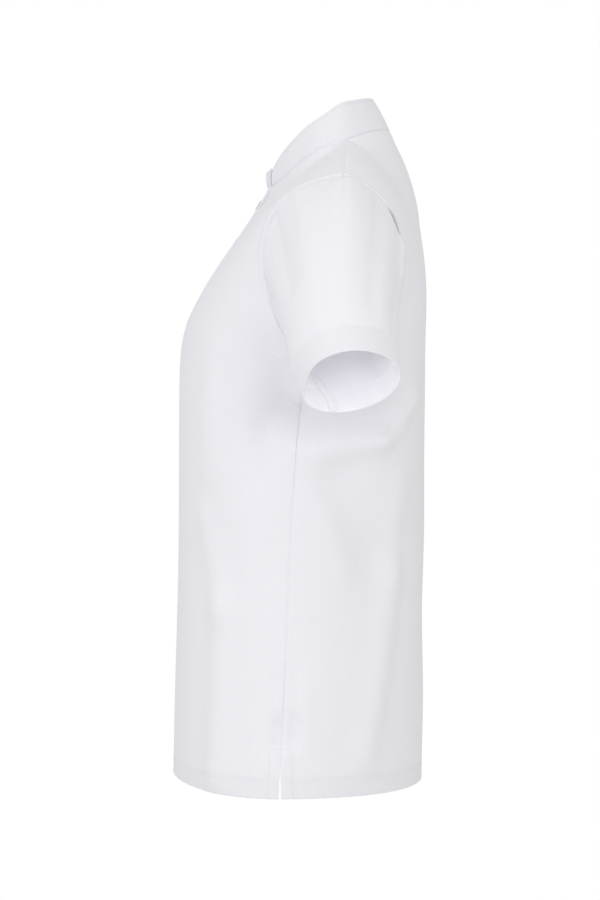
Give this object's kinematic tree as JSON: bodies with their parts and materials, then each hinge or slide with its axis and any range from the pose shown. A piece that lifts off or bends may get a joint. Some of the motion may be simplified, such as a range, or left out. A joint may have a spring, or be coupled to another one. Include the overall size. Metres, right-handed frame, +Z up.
{
  "type": "polo shirt",
  "caption": "Short-sleeved polo shirt with a stand-up band collar, buttoned placket, banded cuffs and side vents, standing hollow as it is worn",
  "frame": {"origin": "midway between the two points where the shoulder seams meet the collar, where the wearer's shoulders hold the shirt", "axes": "+Z up, the front of the shirt faces -Y, the wearer's left is +X"},
  "size_m": [0.5914, 0.2449, 0.6648],
  "materials": {
    "pique_cotton": "matte white cotton pique knit",
    "band_knit": "matte white cotton knit, folded double",
    "button_resin": "satin white polyester resin"
  },
  "bodies": {
    "root": {"front_panel": "pique_cotton", "back_panel": "pique_cotton", "sleeve_left": "pique_cotton", "sleeve_right": "pique_cotton", "cuff_left": "band_knit", "cuff_right": "band_knit", "collar_band": "band_knit", "placket_over": "pique_cotton", "placket_under": "pique_cotton", "button_1": "button_resin", "button_2": "button_resin", "button_3": "button_resin"}
  },
  "joints": []
}
